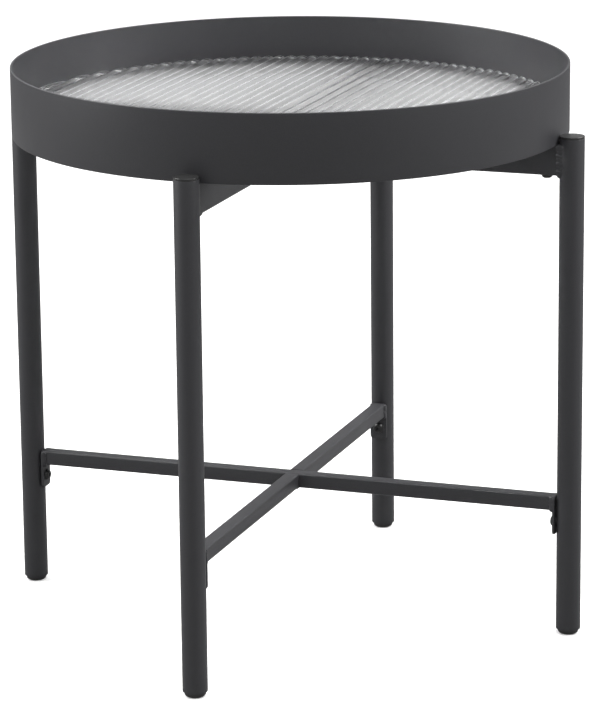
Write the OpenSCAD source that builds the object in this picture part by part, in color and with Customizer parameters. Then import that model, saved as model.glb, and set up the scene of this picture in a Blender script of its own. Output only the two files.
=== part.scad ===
// Round side table: a tall steel hoop with a loose sheet of reeded glass lying in it,
// on two crossed leg frames that are screwed together and come apart for packing.
// Millimetres, +Z up. The origin is on the floor under the table's centre, one pair
// of legs stands on the X axis and the other pair on the Y axis.

/* [Tray] */
// Height of the table, up to the hoop's upper edge
table_h = 460; // [430:5:490]
// Outer diameter of the hoop
hoop_d = 450; // [430:5:480]
// Height of the hoop's band
hoop_h = 55; // [50:1:60]
// Thickness of the hoop's band
hoop_t = 2; // [1.5:0.5:3]
// Height of the glass ledge's upper face above the hoop's lower edge
ledge_h = 15; // [14:1:20]
// Width of the ledge, inwards from the hoop's band
ledge_w = 18; // [16:1:22]
// Thickness of the ledge's steel
ledge_t = 2; // [1.5:0.5:2.5]

/* [Glass] */
// Thickness of the glass, from its flat back to the rib crests
glass_t = 5; // [4:0.5:6]
// Radial gap between the glass and the hoop
glass_gap = 1.5; // [1:0.5:3]
// Distance from one rib to the next
rib_pitch = 9.2; // [7:0.1:12]
// Height of a rib above the valleys beside it
rib_h = 1.6; // [1:0.1:2]
// Number of soft pads under the glass
pad_count = 8; // [4:4:12]

/* [Legs] */
// Outer diameter of a leg tube
leg_d = 20; // [19:1:22]
// Wall of a leg tube
leg_wall = 1.5; // [1:0.25:2]
// How far a leg stands up beside the hoop
leg_lap = 7; // [4:1:12]
// Height of a foot below its tube
foot_h = 4.2; // [3.5:0.1:6]

/* [Bars] */
// Width of the two bars under the hoop
top_bar_w = 12; // [12:1:14]
// Height of the two bars under the hoop
top_bar_h = 25; // [20:1:30]
// Side of the two square bars near the floor
low_bar = 12; // [12:1:14]
// Height of the underside of the low bars
low_bar_z = 104; // [95:1:140]
// Wall of all four bars
bar_wall = 1.2; // [1:0.1:1.5]
// Outer corner radius of all four bars
bar_round = 1.5; // [1:0.25:2]

/* [End plates] */
// Width of an end plate
plate_w = 15; // [13:1:18]
// Thickness of an end plate
plate_t = 2; // [1.5:0.5:4]
// Distance that an end plate reaches below its bar
plate_drop = 20; // [17:1:24]
// Distance of its screw below the bar
plate_screw_drop = 10; // [8:0.5:10]

/* [Hidden] */

// The four stations of the legs, as quarter turns from +X
RIGHT = 0;
BACK = 1;
LEFT = 2;
FRONT = 3;

// Finishes
ANTHRACITE = [0.25, 0.25, 0.26];
PLASTIC = [0.2, 0.2, 0.21];
SCREW_BLACK = [0.13, 0.13, 0.14];
ZINC = [0.72, 0.73, 0.75];
SILICONE = [0.85, 0.87, 0.88];
REEDED = [0.86, 0.9, 0.9, 0.5];

// Facets of full circles: bores come out as true cylinders
$fn = 96;
// Overshoot of a cut through the face that it opens
cut = 1;
// Gap between two faces that lie on or run along each other
fit_gap = 0.05;

// Hoop, ledge and glass
hoop_r = hoop_d / 2;
hoop_in_r = hoop_r - hoop_t;
hoop_z = table_h - hoop_h;
ledge_top = hoop_z + ledge_h;
ledge_in_r = hoop_in_r - ledge_w;
pad_d = 10;
pad_h = 1;
pad_r = ledge_in_r + pad_d / 2 + 1;
glass_r = hoop_in_r - glass_gap;
glass_z = ledge_top + pad_h + fit_gap;
rib_arc_r = (pow(rib_pitch / 2, 2) + pow(rib_h, 2)) / (2 * rib_h);
rib_steps = 8;
rib_side = ceil(glass_r / rib_pitch);

// Legs
leg_gap = 0.3;
leg_r = hoop_r + leg_gap + leg_d / 2;
leg_in_d = leg_d - 2 * leg_wall;
leg_top = hoop_z + leg_lap;
plug_gap = 0.1;
plug_d = leg_in_d - 2 * plug_gap;
cap_h = 2;
cap_round = 0.5;
cap_plug = 12;
foot_d = 17;
foot_round = 3;
foot_plug = 16;

// Bars and their half laps
top_bar_z = hoop_z - top_bar_h;
lap_gap = 0.1;

// Fasteners: M5 throughout
thread_d = 5;
thread_bore_d = 5.1;
screw_hole_d = 5.5;
head_d = 9.5;
head_h = 2.75;
head_rim_h = 0.6;
head_flat_r = 3;
// The head's ball passes through the top of its upright rim and the edge of its flat top
head_ball_z = (pow(head_flat_r, 2) + pow(head_h, 2) - pow(head_d / 2, 2) - pow(head_rim_h, 2))
    / (2 * (head_h - head_rim_h));
head_ball_r = sqrt(pow(head_d / 2, 2) + pow(head_rim_h - head_ball_z, 2));
socket_af = 3;
socket_deep = 1.6;
rivet_d = 7;
rivet_l = 12;
rivet_flange_d = 9;
rivet_flange_t = 0.3;
rivet_hole_d = rivet_d + 2 * fit_gap;
plate_screw_l = 14;
tray_screw_l = 35;
centre_screw_l = 10;
nut_af = 8;
nut_h = 4;
boss_d = 10;
boss_r = 215;

// End plates, by distance from the table's axis
plate_out_r = leg_r - leg_d / 2 - rivet_flange_t;
plate_in_r = plate_out_r - plate_t;
plate_round = 3;
plate_z = low_bar_z - plate_drop;
plate_screw_z = low_bar_z - plate_screw_drop;

// Puts its children at a station, with +X pointing outwards and X = 0 on the leg's axis
module at_leg(side) {
    rotate([0, 0, 90 * side]) translate([leg_r, 0, 0]) children();
}

// Turns its children, drawn along +Z, to point outwards along +X
module pointing_out() {
    rotate([0, 90, 0]) children();
}

// Flat rounded rectangle about the origin
module rounded_rect(w, h, r) {
    square([w - 2 * r, h], center = true);
    square([w, h - 2 * r], center = true);
    for (x = [-1, 1], y = [-1, 1])
        translate([x * (w / 2 - r), y * (h / 2 - r)]) circle(r);
}

// Hollow bar along the X axis, standing on z = 0
module bar_tube(length, w, h) {
    translate([-length / 2, 0, h / 2]) rotate([90, 0, 90])
        linear_extrude(length) difference() {
            rounded_rect(w, h, bar_round);
            square([w - 2 * bar_wall, h - 2 * bar_wall], center = true);
        }
}

// Removes half the height of a bar where the other bar crosses it
module lap_cut(w, h, upper) {
    side = w + 2 * lap_gap;
    tall = h / 2 + lap_gap + cut;
    translate([0, 0, upper ? h / 2 - lap_gap + tall / 2 : h / 2 + lap_gap - tall / 2])
        cube([side, w + 2 * cut, tall], center = true);
}

// Button head screw standing on z = 0 with its thread down and its head up
module button_screw(length) {
    difference() {
        union() {
            intersection() {
                translate([0, 0, head_ball_z]) sphere(head_ball_r);
                cylinder(h = head_h, d = head_d);
            }
            translate([0, 0, -length]) cylinder(h = length + cut / 2, d = thread_d);
        }
        translate([0, 0, head_h - socket_deep])
            cylinder(h = socket_deep + cut, d = socket_af / cos(30), $fn = 6);
    }
}

// Disc or plug with its lower rim rounded off, standing on z = 0
module rounded_disc(d, h, round_r) {
    rotate_extrude() {
        translate([0, round_r]) square([d / 2, h - round_r]);
        square([d / 2 - round_r, round_r]);
        intersection() {
            translate([d / 2 - round_r, round_r]) circle(round_r);
            square([d / 2, round_r]);
        }
    }
}

// Band of sheet steel rolled into a ring
module hoop() {
    color(ANTHRACITE) translate([0, 0, hoop_z]) difference() {
        cylinder(h = hoop_h, r = hoop_r, $fn = 180);
        translate([0, 0, -cut]) cylinder(h = hoop_h + 2 * cut, r = hoop_in_r, $fn = 180);
    }
}

// Flat ring welded inside the hoop, which carries the glass
module ledge_ring() {
    color(ANTHRACITE) translate([0, 0, ledge_top - ledge_t]) difference() {
        cylinder(h = ledge_t, r = hoop_in_r, $fn = 180);
        translate([0, 0, -cut]) cylinder(h = ledge_t + 2 * cut, r = ledge_in_r, $fn = 180);
    }
}

// Threaded bosses welded under the ledge, one over each end of the top bars
module tray_bosses() {
    boss_h = ledge_h - ledge_t;
    color(ANTHRACITE) for (side = [RIGHT:FRONT])
        rotate([0, 0, 90 * side]) translate([boss_r, 0, hoop_z]) difference() {
            cylinder(h = boss_h, d = boss_d);
            translate([0, 0, -cut]) cylinder(h = boss_h + cut - bar_wall, d = thread_bore_d);
        }
}

// Clear soft pads stuck on the ledge
module glass_pads() {
    color(SILICONE) for (i = [0:pad_count - 1])
        rotate([0, 0, 360 * (i + 0.5) / pad_count]) translate([pad_r, 0, ledge_top])
            cylinder(h = pad_h, d = pad_d);
}

// Height of the ribbed face at a distance x across the ribs, above its valleys
function rib_at(x) =
    let (t = x - rib_pitch * round(x / rib_pitch))
    sqrt(pow(rib_arc_r, 2) - pow(t, 2)) - (rib_arc_r - rib_h);

// Round sheet of glass, flat below, with rounded ribs along Y on its upper face
module glass_top() {
    half = rib_side * rib_pitch;
    step = rib_pitch / rib_steps;
    ribs = [for (i = [0:2 * rib_side * rib_steps])
        let (x = half - i * step) [x, glass_t - rib_h + rib_at(x)]];
    color(REEDED) translate([0, 0, glass_z]) intersection() {
        cylinder(h = glass_t, r = glass_r, $fn = 180);
        rotate([90, 0, 0]) linear_extrude(2 * glass_r + 2 * cut, center = true)
            polygon(concat([[-half, 0], [half, 0]], ribs));
    }
}

// Upright tube with a hole in its inner side for the rivet nut
module leg(side) {
    tube_h = leg_top - cap_h - foot_h;
    color(ANTHRACITE) at_leg(side) difference() {
        translate([0, 0, foot_h]) cylinder(h = tube_h, d = leg_d);
        translate([0, 0, foot_h - cut]) cylinder(h = tube_h + 2 * cut, d = leg_in_d);
        translate([-leg_d, 0, plate_screw_z]) pointing_out() cylinder(h = leg_d, d = rivet_hole_d);
    }
}

// Cap pushed into the top of a leg
module leg_cap(side) {
    color(PLASTIC) at_leg(side) translate([0, 0, leg_top]) mirror([0, 0, 1]) {
        rounded_disc(leg_d, cap_h, cap_round);
        cylinder(h = cap_h + cap_plug, d = plug_d);
    }
}

// Glide pushed into the bottom of a leg, the only part that meets the floor
module foot(side) {
    color(PLASTIC) at_leg(side) {
        rounded_disc(foot_d, foot_h, foot_round);
        translate([0, 0, foot_h / 2]) cylinder(h = foot_h / 2 + foot_plug, d = plug_d);
    }
}

// Top bar along X or Y, coped onto its two legs, drilled for the tray screws
module top_bar(quarter, lap_upper) {
    color(ANTHRACITE) rotate([0, 0, 90 * quarter]) translate([0, 0, top_bar_z]) difference() {
        bar_tube(2 * leg_r, top_bar_w, top_bar_h);
        lap_cut(top_bar_w, top_bar_h, lap_upper);
        for (s = [-1, 1]) {
            translate([s * leg_r, 0, -cut]) cylinder(h = top_bar_h + 2 * cut, d = leg_d);
            translate([s * boss_r, 0, -cut]) cylinder(h = top_bar_h + 2 * cut, d = screw_hole_d);
        }
    }
}

// Low bar along X or Y between two end plates, drilled at its middle
module low_bar(quarter, lap_upper) {
    color(ANTHRACITE) rotate([0, 0, 90 * quarter]) translate([0, 0, low_bar_z]) difference() {
        bar_tube(2 * plate_in_r, low_bar, low_bar);
        lap_cut(low_bar, low_bar, lap_upper);
        if (lap_upper) translate([0, 0, -cut]) cylinder(h = low_bar, d = screw_hole_d);
    }
}

// Plate welded to the end of a low bar, screwed to the inner side of a leg
module end_plate(side) {
    plate_h = low_bar_z + low_bar - plate_z;
    color(ANTHRACITE) rotate([0, 0, 90 * side]) difference() {
        translate([plate_in_r, 0, plate_z + plate_h / 2]) rotate([90, 0, 90])
            linear_extrude(plate_t) rounded_rect(plate_w, plate_h, plate_round);
        translate([plate_in_r - cut, 0, plate_screw_z]) pointing_out()
            cylinder(h = plate_t + 2 * cut, d = screw_hole_d);
    }
}

// The four screws that hold the low bars' end plates to the legs
module plate_screws() {
    color(SCREW_BLACK) for (side = [RIGHT:FRONT])
        rotate([0, 0, 90 * side]) translate([plate_in_r, 0, plate_screw_z])
            mirror([1, 0, 0]) pointing_out() button_screw(plate_screw_l);
}

// Rivet nuts set in the legs before painting, behind the end plates
module rivet_nuts() {
    color(ANTHRACITE) for (side = [RIGHT:FRONT])
        rotate([0, 0, 90 * side]) translate([plate_out_r, 0, plate_screw_z]) pointing_out() difference() {
            union() {
                cylinder(h = rivet_flange_t, d = rivet_flange_d);
                cylinder(h = rivet_l, d = rivet_d);
            }
            translate([0, 0, -cut]) cylinder(h = rivet_l + 2 * cut, d = thread_bore_d);
        }
}

// The four long screws up through the top bars into the tray's bosses
module tray_screws() {
    color(SCREW_BLACK) for (side = [RIGHT:FRONT])
        rotate([0, 0, 90 * side]) translate([boss_r, 0, top_bar_z])
            mirror([0, 0, 1]) button_screw(tray_screw_l);
}

// Screw from below through the crossing of the low bars
module centre_screw() {
    color(SCREW_BLACK) translate([0, 0, low_bar_z]) mirror([0, 0, 1]) button_screw(centre_screw_l);
}

// Hexagon nut welded inside the upper half of the low bars' crossing
module centre_nut() {
    color(ZINC) translate([0, 0, low_bar_z + low_bar - bar_wall - nut_h]) difference() {
        cylinder(h = nut_h, d = nut_af / cos(30), $fn = 6);
        translate([0, 0, -cut]) cylinder(h = nut_h + 2 * cut, d = thread_bore_d);
    }
}

hoop();
ledge_ring();
tray_bosses();
glass_pads();
glass_top();
leg(RIGHT);  // leg_right
leg(BACK);  // leg_back
leg(LEFT);  // leg_left
leg(FRONT);  // leg_front
leg_cap(RIGHT);  // leg_cap_right
leg_cap(BACK);  // leg_cap_back
leg_cap(LEFT);  // leg_cap_left
leg_cap(FRONT);  // leg_cap_front
foot(RIGHT);  // foot_right
foot(BACK);  // foot_back
foot(LEFT);  // foot_left
foot(FRONT);  // foot_front
top_bar(0, false);  // top_bar_x
top_bar(1, true);  // top_bar_y
low_bar(0, false);  // low_bar_x
low_bar(1, true);  // low_bar_y
end_plate(RIGHT);  // end_plate_right
end_plate(BACK);  // end_plate_back
end_plate(LEFT);  // end_plate_left
end_plate(FRONT);  // end_plate_front
plate_screws();
rivet_nuts();
tray_screws();
centre_screw();
centre_nut();
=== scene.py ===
"""Round side table: a tall steel hoop with a loose sheet of reeded glass lying in it, on two
crossed leg frames with powder-coated tubes and bars, plastic caps and feet, and black screws.

Metres, +Z up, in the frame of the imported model. Each new piece is a surface worked out as a
grid of points: a profile turned about an axis, or a profile carried along a path.
"""

import math

import bmesh
import bpy
import numpy as np
from mathutils import Matrix, Vector


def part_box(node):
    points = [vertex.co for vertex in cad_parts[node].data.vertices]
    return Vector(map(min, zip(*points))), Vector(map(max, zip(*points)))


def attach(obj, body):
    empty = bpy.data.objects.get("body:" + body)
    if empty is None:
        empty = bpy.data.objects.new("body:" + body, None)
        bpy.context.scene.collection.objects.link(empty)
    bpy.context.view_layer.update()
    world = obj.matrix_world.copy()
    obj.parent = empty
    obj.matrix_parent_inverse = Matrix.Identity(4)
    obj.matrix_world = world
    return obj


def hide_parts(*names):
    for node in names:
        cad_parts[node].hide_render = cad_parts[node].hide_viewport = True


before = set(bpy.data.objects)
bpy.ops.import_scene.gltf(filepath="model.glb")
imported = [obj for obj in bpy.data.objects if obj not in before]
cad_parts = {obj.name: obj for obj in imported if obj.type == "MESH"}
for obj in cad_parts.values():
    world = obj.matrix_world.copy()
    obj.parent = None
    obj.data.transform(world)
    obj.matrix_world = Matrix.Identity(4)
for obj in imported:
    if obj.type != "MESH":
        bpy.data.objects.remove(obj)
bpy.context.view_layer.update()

MM = 0.001
QUARTER = math.pi / 2

# The four stations of the legs, as quarter turns from +X
STATIONS = {"right": 0, "back": 1, "left": 2, "front": 3}


# ---------------------------------------------------------------- sizes read from the model


def node_box(name):
    """Lowest and highest corner of a node, as two arrays."""
    low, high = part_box(name)
    return np.array(low), np.array(high)


HOOP_LOW, HOOP_HIGH = node_box("hoop")
HOOP_R = HOOP_HIGH[0]
HOOP_T = 2 * MM
LEDGE_LOW, LEDGE_HIGH = node_box("ledge_ring")
LEDGE_W = 18 * MM
BOSS_LOW, BOSS_HIGH = node_box("tray_bosses")
BOSS_R = 5 * MM
BOSS_BORE_R = 2.55 * MM
BOSS_AT = BOSS_HIGH[0] - BOSS_R  # from the table's axis to a boss's axis
PAD_LOW, PAD_HIGH = node_box("glass_pads")
GLASS_LOW, GLASS_HIGH = node_box("glass_top")
GLASS_R = GLASS_HIGH[0]

LEG_LOW, LEG_HIGH = node_box("leg_right")
LEG_D = LEG_HIGH[1] - LEG_LOW[1]
LEG_R = (LEG_LOW[0] + LEG_HIGH[0]) / 2  # from the table's axis to a leg's axis
CAP_TOP = node_box("leg_cap_right")[1][2]
LEG_WALL = 1.5 * MM
PLUG_R = LEG_D / 2 - 1.6 * MM  # of the caps' and feet's plugs, a little inside the wall
CAP_PLUG = 12 * MM
CAP_ROUND = 0.5 * MM
FOOT_D = 17 * MM
FOOT_PLUG = 16 * MM
FOOT_ROUND = 3 * MM

TOP_BAR_LOW, TOP_BAR_HIGH = node_box("top_bar_x")
LOW_BAR_LOW, LOW_BAR_HIGH = node_box("low_bar_x")
PLATE_LOW, PLATE_HIGH = node_box("end_plate_right")
PLATE_ROUND = 3 * MM


# ---------------------------------------------------------------- surfaces


def rounded_path(corners, radii, steps=5):
    """Closed outline whose corners are arcs. Each arc touches both sides that meet at its
    corner: its centre is on the corner's bisector, at the radius over the sine of half the
    corner's angle. A corner of radius 0 stays one point."""
    p = np.array(corners, float)
    r = np.array(radii, float)[:, None]
    u = np.roll(p, 1, axis=0) - p
    v = np.roll(p, -1, axis=0) - p
    u /= np.linalg.norm(u, axis=1, keepdims=True)
    v /= np.linalg.norm(v, axis=1, keepdims=True)
    half = np.arccos(np.clip((u * v).sum(1, keepdims=True), -1, 1)) / 2
    middle = u + v
    middle /= np.maximum(np.linalg.norm(middle, axis=1, keepdims=True), 1e-9)
    centre = p + middle * r / np.sin(half)
    start = p + u * r / np.tan(half) - centre
    end = p + v * r / np.tan(half) - centre
    sweep = math.pi - 2 * half
    s = np.linspace(0, 1, steps + 1)[None, :]
    a = (np.sin((1 - s) * sweep) / np.sin(sweep))[..., None]
    b = (np.sin(s * sweep) / np.sin(sweep))[..., None]
    arcs = centre[:, None] + a * start[:, None] + b * end[:, None]
    path = arcs.reshape(-1, 2)
    apart = np.linalg.norm(path - np.roll(path, 1, axis=0), axis=1) > 1e-7
    return path[apart]


def rounded_box_path(width, height, radius, steps=5):
    """Rounded rectangle about the origin, counter-clockwise."""
    w, h = width / 2, height / 2
    return rounded_path([(-w, -h), (w, -h), (w, h), (-w, h)], [radius] * 4, steps)


def turned(profile, segments, centre=(0.0, 0.0), start=0.0):
    """Profile of (radius, height) turned about an upright axis: a point at radius r and angle
    a stands at centre + (r cos a, r sin a)."""
    a = start + np.arange(segments) * 2 * math.pi / segments
    r, z = np.array(profile).T
    x = centre[0] + r[:, None] * np.cos(a)
    y = centre[1] + r[:, None] * np.sin(a)
    return np.stack([x, y, np.broadcast_to(z[:, None], x.shape)], axis=-1)


def quarter_turn(points, side):
    """Points turned about the table's axis by a whole number of quarter turns."""
    c, s = round(math.cos(side * QUARTER)), round(math.sin(side * QUARTER))
    x, y, z = np.moveaxis(points, -1, 0)
    return np.stack([c * x - s * y, s * x + c * y, z], axis=-1)


def placed(points, origin, up):
    """Points drawn about +Z, moved to an origin with their +Z along the direction up."""
    turn = np.array(Vector(up).to_track_quat("Z", "Y").to_matrix())
    return points @ turn.T + np.array(origin)


def shell(points, wrap_rows=False, wrap_columns=True):
    """Vertices and quads of a grid of points. A wrapped direction joins its last line to its
    first one."""
    rows, columns = points.shape[:2]
    index = np.arange(rows * columns).reshape(rows, columns)
    i = np.arange(rows if wrap_rows else rows - 1)[:, None]
    j = np.arange(columns if wrap_columns else columns - 1)[None, :]
    i1, j1 = (i + 1) % rows, (j + 1) % columns
    quads = np.stack([index[i, j], index[i, j1], index[i1, j1], index[i1, j]], axis=-1)
    return points.reshape(-1, 3), quads.reshape(-1, 4)


def added(name, data):
    """A new object in the scene."""
    made = bpy.data.objects.new(name, data)
    bpy.context.scene.collection.objects.link(made)
    return made


def piece(name, shells, material, nodes, body="frame", smooth_to=35):
    """One object from closed shells, with its points merged at poles and seams, its normals
    outwards, and edges sharper than smooth_to degrees left sharp."""
    offsets = np.cumsum([0] + [len(v) for v, _ in shells[:-1]])
    verts = np.concatenate([v for v, _ in shells])
    quads = np.concatenate([q + o for (_, q), o in zip(shells, offsets)])
    mesh = bpy.data.meshes.new(name)
    mesh.from_pydata(verts, [], quads)
    bm = bmesh.new()
    bm.from_mesh(mesh)
    bmesh.ops.remove_doubles(bm, verts=bm.verts, dist=2e-6)
    bmesh.ops.dissolve_degenerate(bm, edges=bm.edges, dist=1e-6)
    bmesh.ops.recalc_face_normals(bm, faces=bm.faces)
    bm.to_mesh(mesh)
    bm.free()
    mesh.shade_smooth()
    mesh.set_sharp_from_angle(angle=math.radians(smooth_to))
    mesh.materials.append(material)
    made = added(name, mesh)
    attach(made, body)
    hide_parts(*nodes)
    return made


# ---------------------------------------------------------------- materials


class Finish:
    """A material under construction: its node tree, its shader and its Object coordinates."""

    def __init__(self, name):
        self.material = bpy.data.materials.new(name)
        self.material.use_nodes = True
        self.nodes = self.material.node_tree.nodes
        self.links = self.material.node_tree.links
        self.shader = self.nodes["Principled BSDF"]
        self.place = self.nodes.new("ShaderNodeTexCoord").outputs["Object"]

    def set(self, **values):
        """Uniform values, put straight on the shader's sockets."""
        for socket, value in values.items():
            self.shader.inputs[socket.replace("_", " ")].default_value = value
        return self

    def stretched(self, x, y, z):
        """Object coordinates with each axis scaled by its own number."""
        mapping = self.nodes.new("ShaderNodeMapping")
        mapping.inputs["Scale"].default_value = (x, y, z)
        self.links.new(self.place, mapping.inputs["Vector"])
        return mapping.outputs["Vector"]

    def noise(self, size, detail=2.0, roughness=0.5, place=None):
        """Soft noise whose patches are about size metres across."""
        node = self.nodes.new("ShaderNodeTexNoise")
        node.inputs["Scale"].default_value = 1 / size
        node.inputs["Detail"].default_value = detail
        node.inputs["Roughness"].default_value = roughness
        self.links.new(place or self.place, node.inputs["Vector"])
        return node.outputs["Fac"]

    def grains(self, size):
        """Cells about size metres across, dark at their middles."""
        node = self.nodes.new("ShaderNodeTexVoronoi")
        node.inputs["Scale"].default_value = 1 / size
        self.links.new(self.place, node.inputs["Vector"])
        return node.outputs["Distance"]

    def radius(self):
        """Distance from the upright axis through the object's origin."""
        flat = self.nodes.new("ShaderNodeVectorMath")
        flat.operation = "LENGTH"
        self.links.new(self.stretched(1.0, 1.0, 0.0), flat.inputs[0])
        return flat.outputs["Value"]

    def height(self):
        """Height above the object's origin."""
        split = self.nodes.new("ShaderNodeSeparateXYZ")
        self.links.new(self.place, split.inputs["Vector"])
        return split.outputs["Z"]

    def larger(self, one, other):
        """The larger of two numbers."""
        node = self.nodes.new("ShaderNodeMath")
        node.operation = "MAXIMUM"
        self.links.new(one, node.inputs[0])
        self.links.new(other, node.inputs[1])
        return node.outputs["Value"]

    def ramp(self, value, low, high, start=0.3, end=0.7):
        """Colours from low to high as value goes from start to end."""
        node = self.nodes.new("ShaderNodeValToRGB")
        first, last = node.color_ramp.elements
        first.position, last.position = start, end
        first.color, last.color = (*low, 1), (*high, 1)
        self.links.new(value, node.inputs["Fac"])
        return node.outputs["Color"]

    def spread(self, value, low, high, start=0.3, end=0.7):
        """Number from low to high as value goes from start to end."""
        node = self.nodes.new("ShaderNodeMapRange")
        for socket, number in zip(
            ("From Min", "From Max", "To Min", "To Max"), (start, end, low, high)
        ):
            node.inputs[socket].default_value = number
        self.links.new(value, node.inputs["Value"])
        return node.outputs["Result"]

    def bump(self, *layers):
        """Bumps from (height, depth in metres) layers, each laid over the one before."""
        normal = None
        for height, depth in layers:
            node = self.nodes.new("ShaderNodeBump")
            node.inputs["Strength"].default_value = 1.0
            node.inputs["Distance"].default_value = depth
            self.links.new(height, node.inputs["Height"])
            if normal is not None:
                self.links.new(normal, node.inputs["Normal"])
            normal = node.outputs["Normal"]
        self.links.new(normal, self.shader.inputs["Normal"])
        return self

    def link(self, socket, value):
        """A node's output, led into one of the shader's sockets."""
        self.links.new(value, self.shader.inputs[socket])
        return self


def grey(value, blue=1.0):
    """Neutral colour, with its blue channel scaled."""
    return value, value, value * blue


def powder_coat():
    """Anthracite powder coat: satin, with a fine orange peel and a faint fleck."""
    f = Finish("powder_coat")
    peel = f.noise(1.1 * MM, detail=1.5)
    fleck = f.noise(0.45 * MM, detail=3.0, roughness=0.7)
    cloud = f.noise(60 * MM)
    f.link("Base Color", f.ramp(fleck, grey(0.032, 1.1), grey(0.046, 1.1)))
    f.link("Roughness", f.spread(cloud, 0.41, 0.47))
    return f.bump((peel, 0.05 * MM), (fleck, 0.02 * MM)).material


def moulded_plastic(name, shade, sheen):
    """Moulded black plastic with a fine spark-eroded grain, its roughness about the sheen."""
    f = Finish(name)
    grain = f.noise(0.5 * MM, detail=3.0, roughness=0.65)
    patch = f.noise(3 * MM)
    f.link("Base Color", f.ramp(grain, grey(shade * 0.8), grey(shade * 1.25)))
    f.link("Roughness", f.spread(patch, sheen - 0.05, sheen + 0.05))
    return f.bump((grain, 0.06 * MM)).material


def black_screw():
    """Blackened steel with a thin oil sheen and fine turning marks."""
    f = Finish("black_screw")
    f.set(Metallic=0.85)
    haze = f.noise(0.8 * MM, detail=3.0)
    f.link("Base Color", f.ramp(haze, grey(0.035), grey(0.075)))
    f.link("Roughness", f.spread(haze, 0.28, 0.42))
    return f.bump((haze, 0.015 * MM)).material


def zinc_plate():
    """Bright zinc plating with a cloudy, slightly crystalline surface."""
    f = Finish("zinc")
    f.set(Metallic=1.0)
    cells = f.grains(0.9 * MM)
    f.link("Base Color", f.ramp(cells, (0.55, 0.56, 0.58), (0.72, 0.73, 0.75), 0.0, 0.8))
    f.link("Roughness", f.spread(cells, 0.25, 0.4, 0.0, 0.8))
    return f.bump((cells, 0.01 * MM)).material


def soft_pad():
    """Clear silicone with a soft, faintly cloudy body."""
    f = Finish("soft_pad")
    f.set(Transmission_Weight=0.75, IOR=1.41)
    cloud = f.noise(2 * MM)
    f.link("Base Color", f.ramp(cloud, (0.86, 0.88, 0.88), (0.93, 0.94, 0.94)))
    f.link("Roughness", f.spread(cloud, 0.25, 0.38))
    return f.bump((cloud, 0.02 * MM)).material


def reeded_glass():
    """Float glass, rolled with ribs: polished ribs with the faintest ripple from rolling, a
    satin back, and a ground edge, which starts a little inside the sheet's radius."""
    f = Finish("reeded_glass")
    f.set(Transmission_Weight=1.0, IOR=1.5)
    ripple = f.noise(14 * MM, place=f.stretched(1.0, 0.15, 1.0))
    fine = f.noise(1.6 * MM, detail=1.0)
    f.link("Base Color", f.ramp(ripple, (0.95, 0.955, 0.962), (0.965, 0.97, 0.976)))
    ribs = f.spread(fine, 0.02, 0.05)
    edge = f.spread(f.radius(), 0.0, 0.8, GLASS_R - 1.2 * MM, GLASS_R - 0.4 * MM)
    low = GLASS_LOW[2]
    back = f.spread(f.height(), 0.31, 0.0, low + 0.1 * MM, low + 0.4 * MM)
    f.link("Roughness", f.larger(f.larger(ribs, edge), back))
    return f.bump((ripple, 0.03 * MM)).material


COAT = powder_coat()
CAP_PLASTIC = moulded_plastic("cap_plastic", 0.03, 0.2)
FOOT_PLASTIC = moulded_plastic("foot_plastic", 0.035, 0.45)
SCREW = black_screw()
ZINC = zinc_plate()
SILICONE = soft_pad()
GLASS = reeded_glass()


# ---------------------------------------------------------------- weld beads


def weld_bead(line, radius, axis, closed=False):
    """Rope of weld metal: a circle carried along the line, its radius swelling once for each
    ripple, with slower swells that never line up, and closing to a point at an open end."""
    line = np.array(line, float)
    if closed:
        along = np.roll(line, -1, axis=0) - np.roll(line, 1, axis=0)
    else:
        along = np.gradient(line, axis=0)
    along /= np.linalg.norm(along, axis=1, keepdims=True)
    axis = np.broadcast_to(np.array(axis, float), line.shape)
    first = axis - (axis * along).sum(1, keepdims=True) * along
    first /= np.linalg.norm(first, axis=1, keepdims=True)
    second = np.cross(along, first)
    run = np.concatenate([[0], np.cumsum(np.linalg.norm(np.diff(line, axis=0), axis=1))])
    swell = (
        1
        + 0.07 * np.sin(run * 2 * math.pi / (1.7 * MM))
        + 0.06 * np.sin(run * 2 * math.pi / (6.1 * MM) + 1.0)
        + 0.04 * np.sin(run * 2 * math.pi / (3.3 * MM) + 2.0)
    )
    size = radius * swell
    if not closed:
        ends = np.minimum(run, run[-1] - run) / (1.2 * radius)
        size = size * np.sqrt(np.clip(1 - (1 - np.clip(ends, 0, 1)) ** 2, 0, 1))
    a = np.linspace(0, 2 * math.pi, 14, endpoint=False)[None, :, None]
    ring = np.cos(a) * first[:, None] + np.sin(a) * second[:, None]
    return shell(line[:, None] + ring * size[:, None, None], wrap_rows=closed)


def evenly(points, step):
    """The same path with its points a step apart."""
    points = np.array(points, float)
    run = np.concatenate([[0], np.cumsum(np.linalg.norm(np.diff(points, axis=0), axis=1))])
    at = np.linspace(0, run[-1], max(3, int(run[-1] / step)))
    return np.stack([np.interp(at, run, points[:, k]) for k in range(points.shape[1])], axis=-1)


# ---------------------------------------------------------------- tray


def hoop_band():
    """The rolled band: a thin upright rectangle with eased edges, turned about the axis."""
    outer, inner = HOOP_R, HOOP_R - HOOP_T
    low, high = HOOP_LOW[2], HOOP_HIGH[2]
    profile = rounded_path(
        [(inner, low), (outer, low), (outer, high), (inner, high)],
        [0.5 * MM, 0.5 * MM, 0.7 * MM, 0.7 * MM],
    )
    band = shell(turned(profile, 360), wrap_rows=True)
    return piece("hoop_band", [band], COAT, ["hoop"])


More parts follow.
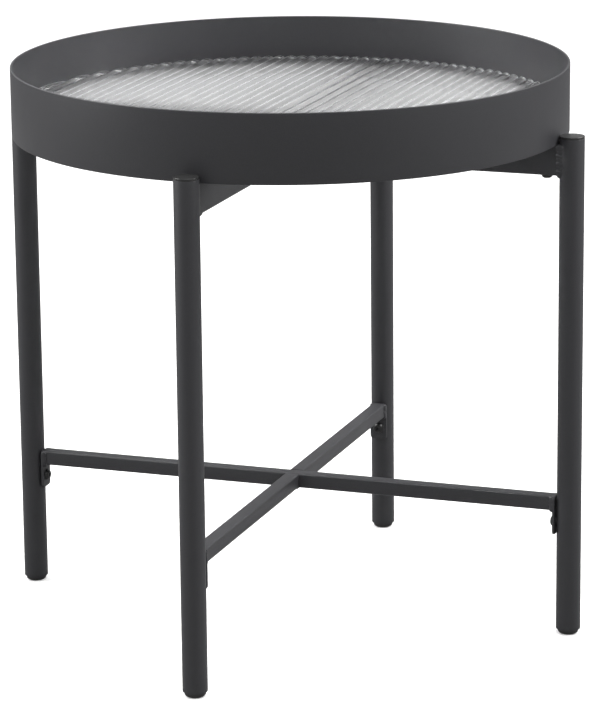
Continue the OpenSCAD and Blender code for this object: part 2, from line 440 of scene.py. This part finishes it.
def ledge():
    """The flat ring under the glass, with twelve short welds where it meets the band below."""
    outer = HOOP_R - HOOP_T - 0.05 * MM
    inner = outer - LEDGE_W
    low, high = LEDGE_LOW[2], LEDGE_HIGH[2]
    profile = rounded_path(
        [(inner, low), (outer, low), (outer, high), (inner, high)], [0.5 * MM] * 4
    )
    shells = [shell(turned(profile, 240), wrap_rows=True)]
    reach = np.linspace(-0.026, 0.026, 40)
    for k in range(12):
        a = (k + 0.5) * math.pi / 6 + reach
        r = outer - 0.6 * MM
        line = np.stack([r * np.cos(a), r * np.sin(a), np.full_like(a, low - 0.4 * MM)], -1)
        shells.append(weld_bead(line, 1.6 * MM, (0, 0, 1)))
    return piece("glass_ledge", shells, COAT, ["ledge_ring"])


def bosses():
    """Four threaded bosses under the ledge, each with a ring of weld at its top."""
    low, high = BOSS_LOW[2], BOSS_HIGH[2]
    profile = rounded_path(
        [(BOSS_BORE_R, low), (BOSS_R, low), (BOSS_R, high), (BOSS_BORE_R, high)],
        [0.3 * MM, 0.4 * MM, 0, 0],
    )
    boss = turned(profile, 48, (BOSS_AT, 0.0))
    a = np.linspace(0, 2 * math.pi, 90, endpoint=False)
    r = BOSS_R + 0.3 * MM
    ring = np.stack([BOSS_AT + r * np.cos(a), r * np.sin(a), np.full_like(a, high - 0.4 * MM)], -1)
    shells = []
    for side in STATIONS.values():
        shells.append(shell(quarter_turn(boss, side), wrap_rows=True))
        shells.append(weld_bead(quarter_turn(ring, side), 1.3 * MM, (0, 0, 1), closed=True))
    return piece("boss_set", shells, COAT, ["tray_bosses"])


def pads():
    """Eight clear domed pads on the ledge, under the glass."""
    r_pad = 5 * MM
    low, high = PAD_LOW[2], PAD_HIGH[2]
    count = 8
    # each pad starts 1 mm in from the ledge's inner edge
    centre_r = HOOP_R - HOOP_T - LEDGE_W + r_pad + 1 * MM
    profile = rounded_path(
        [(0, low), (r_pad, low), (r_pad, high), (0, high)], [0, 0.15 * MM, 0.6 * MM, 0]
    )
    shells = []
    for k in range(count):
        a = (k + 0.5) * 2 * math.pi / count
        centre = (centre_r * math.cos(a), centre_r * math.sin(a))
        shells.append(shell(turned(profile, 40, centre)))
    return piece("pad_set", shells, SILICONE, ["glass_pads"])


RIB_PITCH = 9.2 * MM
RIB_H = 1.6 * MM
RIB_ARC_R = ((RIB_PITCH / 2) ** 2 + RIB_H**2) / (2 * RIB_H)


def rib_height(x):
    """Height of the ribbed face over its valleys: arcs of one radius side by side, with the
    valley between two of them filled by a small counter-arc, as rolling leaves it."""
    t = x - RIB_PITCH * np.round(x / RIB_PITCH)
    arc = np.sqrt(RIB_ARC_R**2 - t**2) - (RIB_ARC_R - RIB_H)
    gap = RIB_PITCH / 2 - np.abs(t)
    ease = 0.5 * MM
    fill = np.clip(1 - gap / ease, 0, 1) ** 2 * ease * 0.4
    return arc + fill * 0.5


def glass_plate():
    """The reeded sheet: columns run along the ribs, from one side of the circle to the other,
    and rows climb round the sheet's section: flat back, eased edge, ribbed face, eased edge."""
    per_rib = 20
    half = int(GLASS_R / RIB_PITCH) + 1
    ribs = np.arange(-half * per_rib, half * per_rib + 1) * RIB_PITCH / per_rib
    turn = np.linspace(-QUARTER, QUARTER, 181)
    x = np.unique(np.round(np.concatenate([ribs, GLASS_R * np.sin(turn)]), 7))
    x = x[np.abs(x) <= GLASS_R]
    x = x[np.concatenate([[True], np.diff(x) > 2e-5])]
    reach = np.sqrt(np.maximum(GLASS_R**2 - x**2, 0))
    ease = 0.4 * MM
    low = GLASS_LOW[2]
    top = GLASS_HIGH[2] - RIB_H + rib_height(x)
    inset = np.minimum(ease, reach)
    back, front = reach, -reach
    steps = np.linspace(-1, 1, 9)
    rows = [(s * (reach - inset), np.full_like(x, low)) for s in steps]
    rows += [(back, low + inset), (back, top - inset)]
    rows += [(s * (reach - inset), top) for s in steps[::-1]]
    rows += [(front, top - inset), (front, low + inset)]
    points = np.stack([np.stack([x, y, z], axis=-1) for y, z in rows])
    body = shell(points, wrap_rows=True, wrap_columns=False)
    return piece(
        "reeded_plate",
        [body],
        GLASS,
        ["glass_top"],
        body="glass",
        smooth_to=30,
    )


# ---------------------------------------------------------------- legs


def leg_tube(name, side):
    """A tube: its wall's rectangle, with eased ends, turned about the leg's axis."""
    low, high = LEG_LOW[2], LEG_HIGH[2]
    outer, inner = LEG_D / 2, LEG_D / 2 - LEG_WALL
    profile = rounded_path(
        [(inner, low), (outer, low), (outer, high), (inner, high)],
        [0.2 * MM, 0.3 * MM, 0.25 * MM, 0.2 * MM],
        steps=3,
    )
    tube = quarter_turn(turned(profile, 72, (LEG_R, 0.0)), side)
    body = shell(tube, wrap_rows=True)
    return piece("tube_" + name, [body], COAT, ["leg_" + name])


def leg_cap(name, side):
    """A plastic cap: flat disc with a rounded rim and a plug inside the tube."""
    top = CAP_TOP
    seat = LEG_HIGH[2]
    r = LEG_D / 2
    under = seat + 0.02 * MM
    tip = seat - CAP_PLUG
    profile = rounded_path(
        [(0, top), (r, top), (r, under), (PLUG_R, under), (PLUG_R, tip), (0, tip)],
        [0, CAP_ROUND, 0.15 * MM, 0, 1 * MM, 0],
    )
    cap = quarter_turn(turned(profile, 72, (LEG_R, 0.0)), side)
    return piece("cap_" + name, [shell(cap)], CAP_PLASTIC, ["leg_cap_" + name])


def foot_glide(name, side):
    """A plastic glide: a disc with a well rounded lower rim and a plug inside the tube."""
    seat = LEG_LOW[2]
    r = FOOT_D / 2
    tip = seat + FOOT_PLUG
    profile = rounded_path(
        [(0, 0), (r, 0), (r, seat), (PLUG_R, seat), (PLUG_R, tip), (0, tip)],
        [0, FOOT_ROUND, 0, 0, 1 * MM, 0],
        steps=8,
    )
    glide = quarter_turn(turned(profile, 72, (LEG_R, 0.0)), side)
    return piece("glide_" + name, [shell(glide)], FOOT_PLASTIC, ["foot_" + name])


# ---------------------------------------------------------------- bars


BAR_ROUND = 1.5 * MM
LAP_GAP = 0.1 * MM


def bar_shell(end_at, width, height, middle_z, keeps_upper):
    """A bar along X: its rounded section carried from end to end. end_at gives the bar's end
    for a distance y from its middle plane. Where the other bar crosses, the half of the
    section that is cut away is flattened onto the middle."""
    section = rounded_box_path(width, height, BAR_ROUND)
    y, z = section.T
    end = end_at(y)
    notch = width / 2 + LAP_GAP
    lap = LAP_GAP if keeps_upper else -LAP_GAP
    cut_z = np.maximum(z, lap) if keeps_upper else np.minimum(z, lap)
    stations = [
        (-end, z),
        (np.full_like(y, -notch), z),
        (np.full_like(y, -notch), cut_z),
        (np.full_like(y, notch), cut_z),
        (np.full_like(y, notch), z),
        (end, z),
    ]
    rows = [np.stack([x, y, zz + middle_z], axis=-1) for x, zz in stations]
    tip = float(end_at(np.zeros(1))[0])
    first = np.broadcast_to(np.array([-tip, 0, middle_z]), rows[0].shape)
    last = np.broadcast_to(np.array([tip, 0, middle_z]), rows[0].shape)
    return np.stack([first, *rows, last])


def bar_outline(width, low, high):
    """Line down one side of a bar's end, under it and up the other side, as (y, z), with the
    outward direction at each of its points: the line's own direction turned by +90 degrees."""
    w = width / 2
    a = np.linspace(0, QUARTER, 9)
    y = w - BAR_ROUND + BAR_ROUND * np.cos(a)
    z = low + BAR_ROUND - BAR_ROUND * np.sin(a)
    path = np.concatenate(
        [[(w, high)], np.stack([y, z], -1), np.stack([-y, z], -1)[::-1], [(-w, high)]]
    )
    line = evenly(path, 0.3 * MM)
    along = np.gradient(line, axis=0)
    along /= np.linalg.norm(along, axis=1, keepdims=True)
    return line, np.stack([-along[:, 1], along[:, 0]], -1)


def weld_fillet(line, outward, wall_at, on_bar, on_wall, lump, phase):
    """Weld round a bar's end. Its section runs from the bar, on_bar before the joint, to the
    wall, on_wall beyond the joint, and closes behind through a point inside the metal. At a
    distance s along the joint and a share t across the face, the face stands out from that
    chord by a bulge 4t(1 - t) and by lumps: sines of s that bend with t, as the puddles
    froze. Both fade away at the open ends."""
    run = np.concatenate([[0], np.cumsum(np.linalg.norm(np.diff(line, axis=0), axis=1))])
    fade = np.clip(np.minimum(run, run[-1] - run) / (1.4 * MM), 0, 1)
    fade = np.sqrt(1 - (1 - fade) ** 2)
    s = run / MM + phase
    uneven = 1 + 0.10 * np.sin(s * 1.03 + 0.8) + 0.07 * np.sin(s * 1.9 + 2.1)
    a = (on_bar * uneven * fade)[:, None]
    b = (on_wall * fade)[:, None] * np.broadcast_to(uneven[::-1, None], a.shape)
    y0, z0 = line[:, :1], line[:, 1:]
    m_y, m_z = outward[:, :1], outward[:, 1:]
    joint_x, foot_x = wall_at(y0), wall_at(y0 + b * m_y)
    t = np.linspace(0, 1, 11)[None, :]
    rise, span = b, a + foot_x - joint_x
    length = np.maximum(np.hypot(rise, span), 1e-6)
    swell = 0.45 * np.sin(s[:, None] * 2.17 + 1.5 * np.cos(3.0 * t + s[:, None] * 0.4))
    swell = swell + 0.35 * np.sin(s[:, None] * 1.03 + 2.0 + 2.2 * t)
    swell = swell + 0.30 * np.sin(s[:, None] * 4.3 - 5.0 * t)
    edge = np.sqrt(np.clip(4 * t * (1 - t), 0, 1))
    stand = fade[:, None] * (0.5 * MM * 4 * t * (1 - t) + lump * swell * edge)
    x = joint_x - a + t * span - stand * rise / length
    out = t * rise + stand * span / length
    back = 0.6 * MM
    x = np.concatenate([x, joint_x + back], axis=1)
    out = np.concatenate([out, np.full_like(a, -back)], axis=1)
    out[:, 0] -= 0.1 * MM
    x[:, -2] += 0.1 * MM
    grid = np.stack([x, y0 + out * m_y, z0 + out * m_z], axis=-1)
    return np.concatenate([capped(grid[:1]), grid, capped(grid[-1:])])


def capped(section):
    """A section drawn together at its middle, which closes the shell there."""
    return np.broadcast_to(section.mean(axis=1, keepdims=True), section.shape)


def top_bar(name, side, keeps_upper):
    """Flat bar under the hoop, shaped to the round of its two legs and welded to them."""
    width = TOP_BAR_HIGH[1] - TOP_BAR_LOW[1]
    low, high = TOP_BAR_LOW[2], TOP_BAR_HIGH[2]
    mid_wall = (LEG_D - LEG_WALL) / 2

    def end_at(y):
        """The bar ends in the middle of the leg's wall, so that the two overlap."""
        return LEG_R - np.sqrt(mid_wall**2 - y**2)

    def leg_face(y):
        """The leg's outer face."""
        return LEG_R - np.sqrt(np.maximum((LEG_D / 2) ** 2 - y**2, 0))

    bar = bar_shell(end_at, width, high - low, (low + high) / 2, keeps_upper)
    line, outward = bar_outline(width, low, high - 0.2 * MM)
    on_bar = (3.5 - 1.0 * np.abs(outward[:, 1])) * MM
    shells = [shell(quarter_turn(bar, side))]
    for end in (0, 2):
        weld = weld_fillet(
            line, outward, leg_face, on_bar, 2.1 * MM, 0.17 * MM, 17 * (end + side) + 4
        )
        shells.append(shell(quarter_turn(weld, end + side)))
    return piece("upper_bar_" + name, shells, COAT, ["top_bar_" + name])


def low_bar(name, side, keeps_upper):
    """Square bar near the floor, welded to an end plate at each end."""
    width = LOW_BAR_HIGH[1] - LOW_BAR_LOW[1]
    low, high = LOW_BAR_LOW[2], LOW_BAR_HIGH[2]
    plate_face = PLATE_LOW[0]

    def end_at(y):
        """The bar runs a little way into its plate, so that the two overlap."""
        return np.full_like(y, plate_face + 0.5 * MM)

    def face(y):
        """The plate's inner face."""
        return np.full_like(y, plate_face)

    bar = bar_shell(end_at, width, high - low, (low + high) / 2, keeps_upper)
    line, outward = bar_outline(width, low, high - 0.2 * MM)
    on_plate = (1.35 + 0.75 * np.abs(outward[:, 1])) * MM
    shells = [shell(quarter_turn(bar, side))]
    for end in (0, 2):
        weld = weld_fillet(
            line, outward, face, 2.8 * MM, on_plate, 0.13 * MM, 13 * (end + side) + 9
        )
        shells.append(shell(quarter_turn(weld, end + side)))
    return piece("lower_bar_" + name, shells, COAT, ["low_bar_" + name])


def end_plate(name, side):
    """Plate with rounded corners: its outline, drawn in and eased at both faces."""
    width = PLATE_HIGH[1] - PLATE_LOW[1]
    low, high = PLATE_LOW[2], PLATE_HIGH[2]
    x0, x1 = PLATE_LOW[0], PLATE_HIGH[0]
    ease = 0.35 * MM
    a = np.linspace(0, QUARTER, 5)
    inset = np.concatenate([ease * (1 - np.sin(a)), ease * (1 - np.cos(a))])
    depth = np.concatenate([x0 + ease * (1 - np.cos(a)), x1 - ease * (1 - np.sin(a))])
    outline = rounded_box_path(width, high - low, PLATE_ROUND, steps=8)
    half = np.array([width, high - low]) / 2
    rows = []
    for d, x in zip(inset, depth):
        ring = outline * (1 - d / half)
        rows.append(np.column_stack([np.full(len(ring), x), ring[:, 0], ring[:, 1]]))
    first = np.zeros_like(rows[0]) + [x0, 0, 0]
    last = np.zeros_like(rows[0]) + [x1, 0, 0]
    grid = np.stack([first, *rows, last]) + [0, 0, (low + high) / 2]
    body = shell(quarter_turn(grid, side))
    return piece("fixing_plate_" + name, [body], COAT, ["end_plate_" + name])


# ---------------------------------------------------------------- screws


HEAD_D = 9.5 * MM
HEAD_H = 2.75 * MM
HEAD_RIM_H = 0.6 * MM
HEAD_FLAT_R = 3 * MM
# The head's ball passes through the top of its upright rim and the edge of its flat top
HEAD_BALL_Z = (HEAD_FLAT_R**2 + HEAD_H**2 - (HEAD_D / 2) ** 2 - HEAD_RIM_H**2) / (
    2 * (HEAD_H - HEAD_RIM_H)
)
HEAD_BALL_R = math.hypot(HEAD_D / 2, HEAD_RIM_H - HEAD_BALL_Z)
SOCKET_AF = 3 * MM
SOCKET_DEEP = 1.6 * MM
THREAD_D = 5 * MM


def button_screw(length):
    """Button head screw standing on z = 0. The radius goes from the thread out to the head's
    upright rim, in over a ball, z = HEAD_BALL_Z + sqrt(HEAD_BALL_R^2 - r^2), to the flat top,
    and to a hexagon, whose radius at an angle is half its width across flats over the cosine
    of the angle from the nearest flat's middle. Then the socket's walls go down."""
    a = np.arange(48) * 2 * math.pi / 48
    flat = (a + math.pi / 6) % (math.pi / 3) - math.pi / 6
    hexagon = SOCKET_AF / 2 / np.cos(flat)
    rim, thread = HEAD_D / 2, THREAD_D / 2
    rows = [(0, -length), (thread - 0.5 * MM, -length), (thread, 0.5 * MM - length)]
    rows += [(thread, 0), (rim - 0.15 * MM, 0), (rim, 0.12 * MM), (rim, HEAD_RIM_H - 0.1 * MM)]
    for r in np.linspace(rim - 0.04 * MM, HEAD_FLAT_R + 0.2 * MM, 8):
        rows.append((r, HEAD_BALL_Z + math.sqrt(HEAD_BALL_R**2 - r**2)))
    rows += [(HEAD_FLAT_R - 0.02 * MM, HEAD_H - 0.05 * MM), (HEAD_FLAT_R - 0.25 * MM, HEAD_H)]
    rows += [(hexagon + 0.2 * MM, HEAD_H), (hexagon + 0.05 * MM, HEAD_H - 0.06 * MM)]
    rows += [(hexagon, HEAD_H - 0.25 * MM), (hexagon, HEAD_H - SOCKET_DEEP)]
    rows += [(0, HEAD_H - SOCKET_DEEP - 0.3 * MM)]
    ones = np.ones_like(a)
    return np.stack([np.stack([r * np.cos(a), r * np.sin(a), z * ones], -1) for r, z in rows])


def plate_screws():
    """Four screws through the end plates, with their heads towards the table's axis."""
    screw = button_screw(14 * MM)
    low, high = node_box("plate_screws")
    z = (low[2] + high[2]) / 2
    head = placed(screw, (PLATE_LOW[0], 0, z), (-1, 0, 0))
    shells = [shell(quarter_turn(head, side)) for side in STATIONS.values()]
    return piece("screws_plates", shells, SCREW, ["plate_screws"])


def tray_screws():
    """Four long screws up through the top bars into the bosses."""
    screw = button_screw(35 * MM)
    head = placed(screw, (BOSS_AT, 0, TOP_BAR_LOW[2]), (0, 0, -1))
    shells = [shell(quarter_turn(head, side)) for side in STATIONS.values()]
    return piece("screws_tray", shells, SCREW, ["tray_screws"])


def centre_screw():
    """The screw up through the crossing of the low bars."""
    screw = placed(button_screw(10 * MM), (0, 0, LOW_BAR_LOW[2]), (0, 0, -1))
    return piece("screw_centre", [shell(screw)], SCREW, ["centre_screw"])


def build():
    """All the new pieces, and the finish of the nodes that stay as they are."""
    hoop_band()
    ledge()
    bosses()
    pads()
    glass_plate()
    for name, side in STATIONS.items():
        leg_tube(name, side)
        leg_cap(name, side)
        foot_glide(name, side)
        end_plate(name, side)
    top_bar("x", 0, True)
    top_bar("y", 1, False)
    low_bar("x", 0, True)
    low_bar("y", 1, False)
    plate_screws()
    tray_screws()
    centre_screw()
    for name, material in (("rivet_nuts", COAT), ("centre_nut", ZINC)):
        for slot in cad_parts[name].material_slots:
            slot.material = material


# ---------------------------------------------------------------- floor, light, camera


FLOOR_R = 40.0
DOME_R = 12.0


def studio_surface(name, low, high, profile, glow=0.0):
    """A wide surface turned about the table, with only a faint mottle in its colour and sheen."""
    f = Finish(name)
    cloud = f.noise(0.4, detail=3.0)
    f.link("Base Color", f.ramp(cloud, grey(low), grey(high)))
    f.link("Roughness", f.spread(cloud, 0.7, 0.8))
    f.set(Specular_IOR_Level=0.1, Emission_Strength=glow)
    verts, quads = shell(turned(profile, 96))
    mesh = bpy.data.meshes.new(name)
    mesh.from_pydata(verts, [], quads)
    bm = bmesh.new()
    bm.from_mesh(mesh)
    bmesh.ops.remove_doubles(bm, verts=bm.verts, dist=1e-5)
    bm.to_mesh(mesh)
    bm.free()
    mesh.shade_smooth()
    mesh.materials.append(f.material)
    made = added(name, mesh)
    return made


def floor_disc(name, low, high, height, glow=0.0):
    """A wide level disc at a height."""
    profile = [(0.0, height), (2.0, height), (FLOOR_R, height)]
    return studio_surface(name, low, high, profile, glow)


def floor():
    """A pale floor for the eye, faintly lit from below like a light table, and just under it a
    grey one that the table is lit by and mirrors, so that the dark paint keeps its depth."""
    pale = floor_disc("floor", 0.88, 0.9, -0.05 * MM, glow=0.3)
    pale.visible_diffuse = False
    pale.visible_glossy = False
    pale.visible_shadow = False
    under = floor_disc("floor_bounce", 0.24, 0.26, -0.2 * MM)
    under.visible_camera = False
    under.visible_transmission = False


def backdrop():
    """A pale dome over the studio that only the eye sees, as bright as the far floor, so that
    no horizon line shows behind the table. Its profile is the quarter circle
    (r, z) = R (cos t, sin t), for t from 0 to 90 degrees."""
    t = np.linspace(0, QUARTER, 25)
    profile = np.stack([DOME_R * np.cos(t), DOME_R * np.sin(t)], -1)
    dome = studio_surface("backdrop", 0.88, 0.9, profile, glow=0.4)
    dome.visible_diffuse = False
    dome.visible_glossy = False
    dome.visible_transmission = False
    dome.visible_shadow = False


# The softboxes: how far round from the direction of view, clockwise from above,
# and how far up they stand, in degrees; their width and height in metres; their brightness
SOFTBOXES = {
    "right": (90, 42, 1.8, 1.9, 9.5),
    "left": (270, 42, 1.8, 1.9, 6.5),
    "left_low": (270, 12, 2.3, 1.2, 1.5),
    "back_left": (315, 42, 1.8, 1.9, 3.0),
    "back_right": (45, 42, 1.8, 1.9, 1.0),
    "front": (180, 42, 1.8, 1.9, 0.5),
    "overhead": (175, 72, 0.7, 0.7, 18.0),
}
LIGHTS_AIM = Vector((0.0, 0.0, 0.3))
LIGHTS_AWAY = 3.0
SKY = 0.35


def softbox(name, turn, up, width, height, brightness):
    """A rectangular area light of a given radiance, turned to face the table."""
    a, e = CAMERA_YAW + math.radians(turn), math.radians(up)
    away = Vector((math.sin(a) * math.cos(e), math.cos(a) * math.cos(e), math.sin(e)))
    light = bpy.data.lights.new(name, "AREA")
    light.shape = "RECTANGLE"
    light.size, light.size_y = width, height
    light.energy = brightness * math.pi * width * height
    made = added(name, light)
    made.location = LIGHTS_AIM + LIGHTS_AWAY * away
    made.rotation_euler = (-away).to_track_quat("-Z", "Y").to_euler()
    made.visible_camera = False


def lights():
    """A white studio: an even surround, and softboxes around and above the table."""
    world = bpy.data.worlds.new("studio")
    world.use_nodes = True
    sky = world.node_tree.nodes["Background"]
    sky.inputs["Color"].default_value = (1.0, 1.0, 1.0, 1.0)
    sky.inputs["Strength"].default_value = SKY
    bpy.context.scene.world = world
    for name, numbers in SOFTBOXES.items():
        softbox(name, *numbers)


CAMERA_PLACE = (0.98349, -2.76478, 0.97397)
CAMERA_YAW = math.radians(-19.472)
CAMERA_PITCH = math.radians(14.569)
CAMERA_ROLL = math.radians(-0.578)
CAMERA_LENS = 184.5


def camera():
    """The camera: it looks along its yaw, measured from +Y, and down by its pitch."""
    forward = Vector(
        (
            math.sin(CAMERA_YAW) * math.cos(CAMERA_PITCH),
            math.cos(CAMERA_YAW) * math.cos(CAMERA_PITCH),
            -math.sin(CAMERA_PITCH),
        )
    )
    right = Vector((math.cos(CAMERA_YAW), -math.sin(CAMERA_YAW), 0.0))
    up = right.cross(forward)
    c, s = math.cos(CAMERA_ROLL), math.sin(CAMERA_ROLL)
    rolled_right, rolled_up = c * right + s * up, c * up - s * right
    turn = Matrix((rolled_right, rolled_up, -forward)).transposed()
    data = bpy.data.cameras.new("camera")
    data.lens = CAMERA_LENS
    data.sensor_width = 36.0
    data.clip_end = 100.0
    made = added("camera", data)
    made.matrix_world = Matrix.Translation(CAMERA_PLACE) @ turn.to_4x4()
    bpy.context.scene.camera = made


camera()
build()
floor()
backdrop()
lights()
bpy.context.scene.view_settings.view_transform = "Standard"
